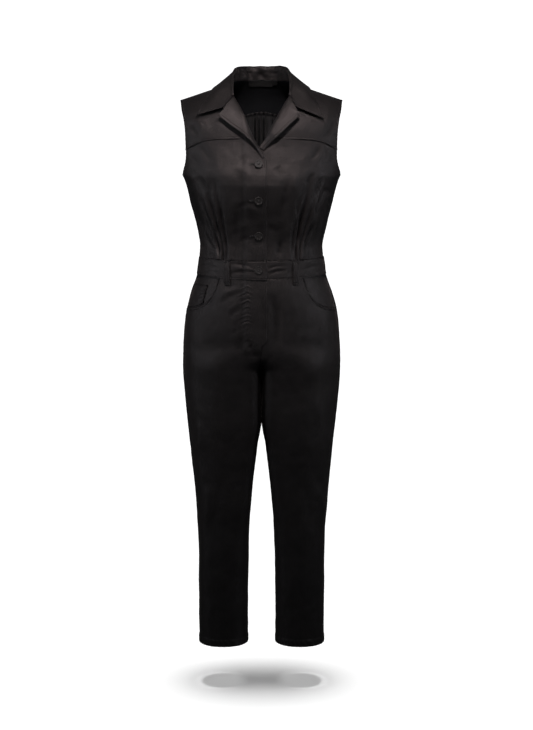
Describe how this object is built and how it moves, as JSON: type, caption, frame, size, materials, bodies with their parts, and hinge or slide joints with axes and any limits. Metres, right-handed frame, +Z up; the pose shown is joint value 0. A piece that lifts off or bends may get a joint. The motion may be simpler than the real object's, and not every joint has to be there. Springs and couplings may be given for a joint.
{
  "type": "sleeveless jumpsuit",
  "caption": "Sleeveless button-front jumpsuit with a notched collar, yokes, waistband with belt loops and straight cropped legs, filled out as worn.",
  "frame": {"origin": "between the shoulders, level with the middle of the neck opening, where the wearer carries the garment", "axes": "+Z up, the front faces -Y, the wearer's right side is at -X"},
  "size_m": [0.3768, 0.2473, 1.3708],
  "materials": {
    "cloth": "black cotton sateen with a faint warm sheen",
    "buttons": "black, rimmed, low gloss",
    "labels": "black woven tape"
  },
  "bodies": {
    "root": {"collar": "cloth", "right_lapel": "cloth", "left_lapel": "cloth", "right_front_yoke": "cloth", "left_front_yoke": "cloth", "back_yoke": "cloth", "right_front": "cloth", "left_front": "cloth", "back": "cloth", "right_front_waistband": "cloth", "left_front_waistband": "cloth", "back_waistband": "cloth", "right_front_leg": "cloth", "left_front_leg": "cloth", "right_back_leg": "cloth", "left_back_leg": "cloth", "right_pocket_facing": "cloth", "left_pocket_facing": "cloth", "coin_pocket": "cloth", "right_front_belt_loop": "cloth", "left_front_belt_loop": "cloth", "right_back_belt_loop": "cloth", "left_back_belt_loop": "cloth", "centre_back_belt_loop": "cloth", "button_1": "buttons", "button_2": "buttons", "button_3": "buttons", "button_4": "buttons", "neck_label": "labels", "size_tab": "labels"}
  },
  "joints": []
}
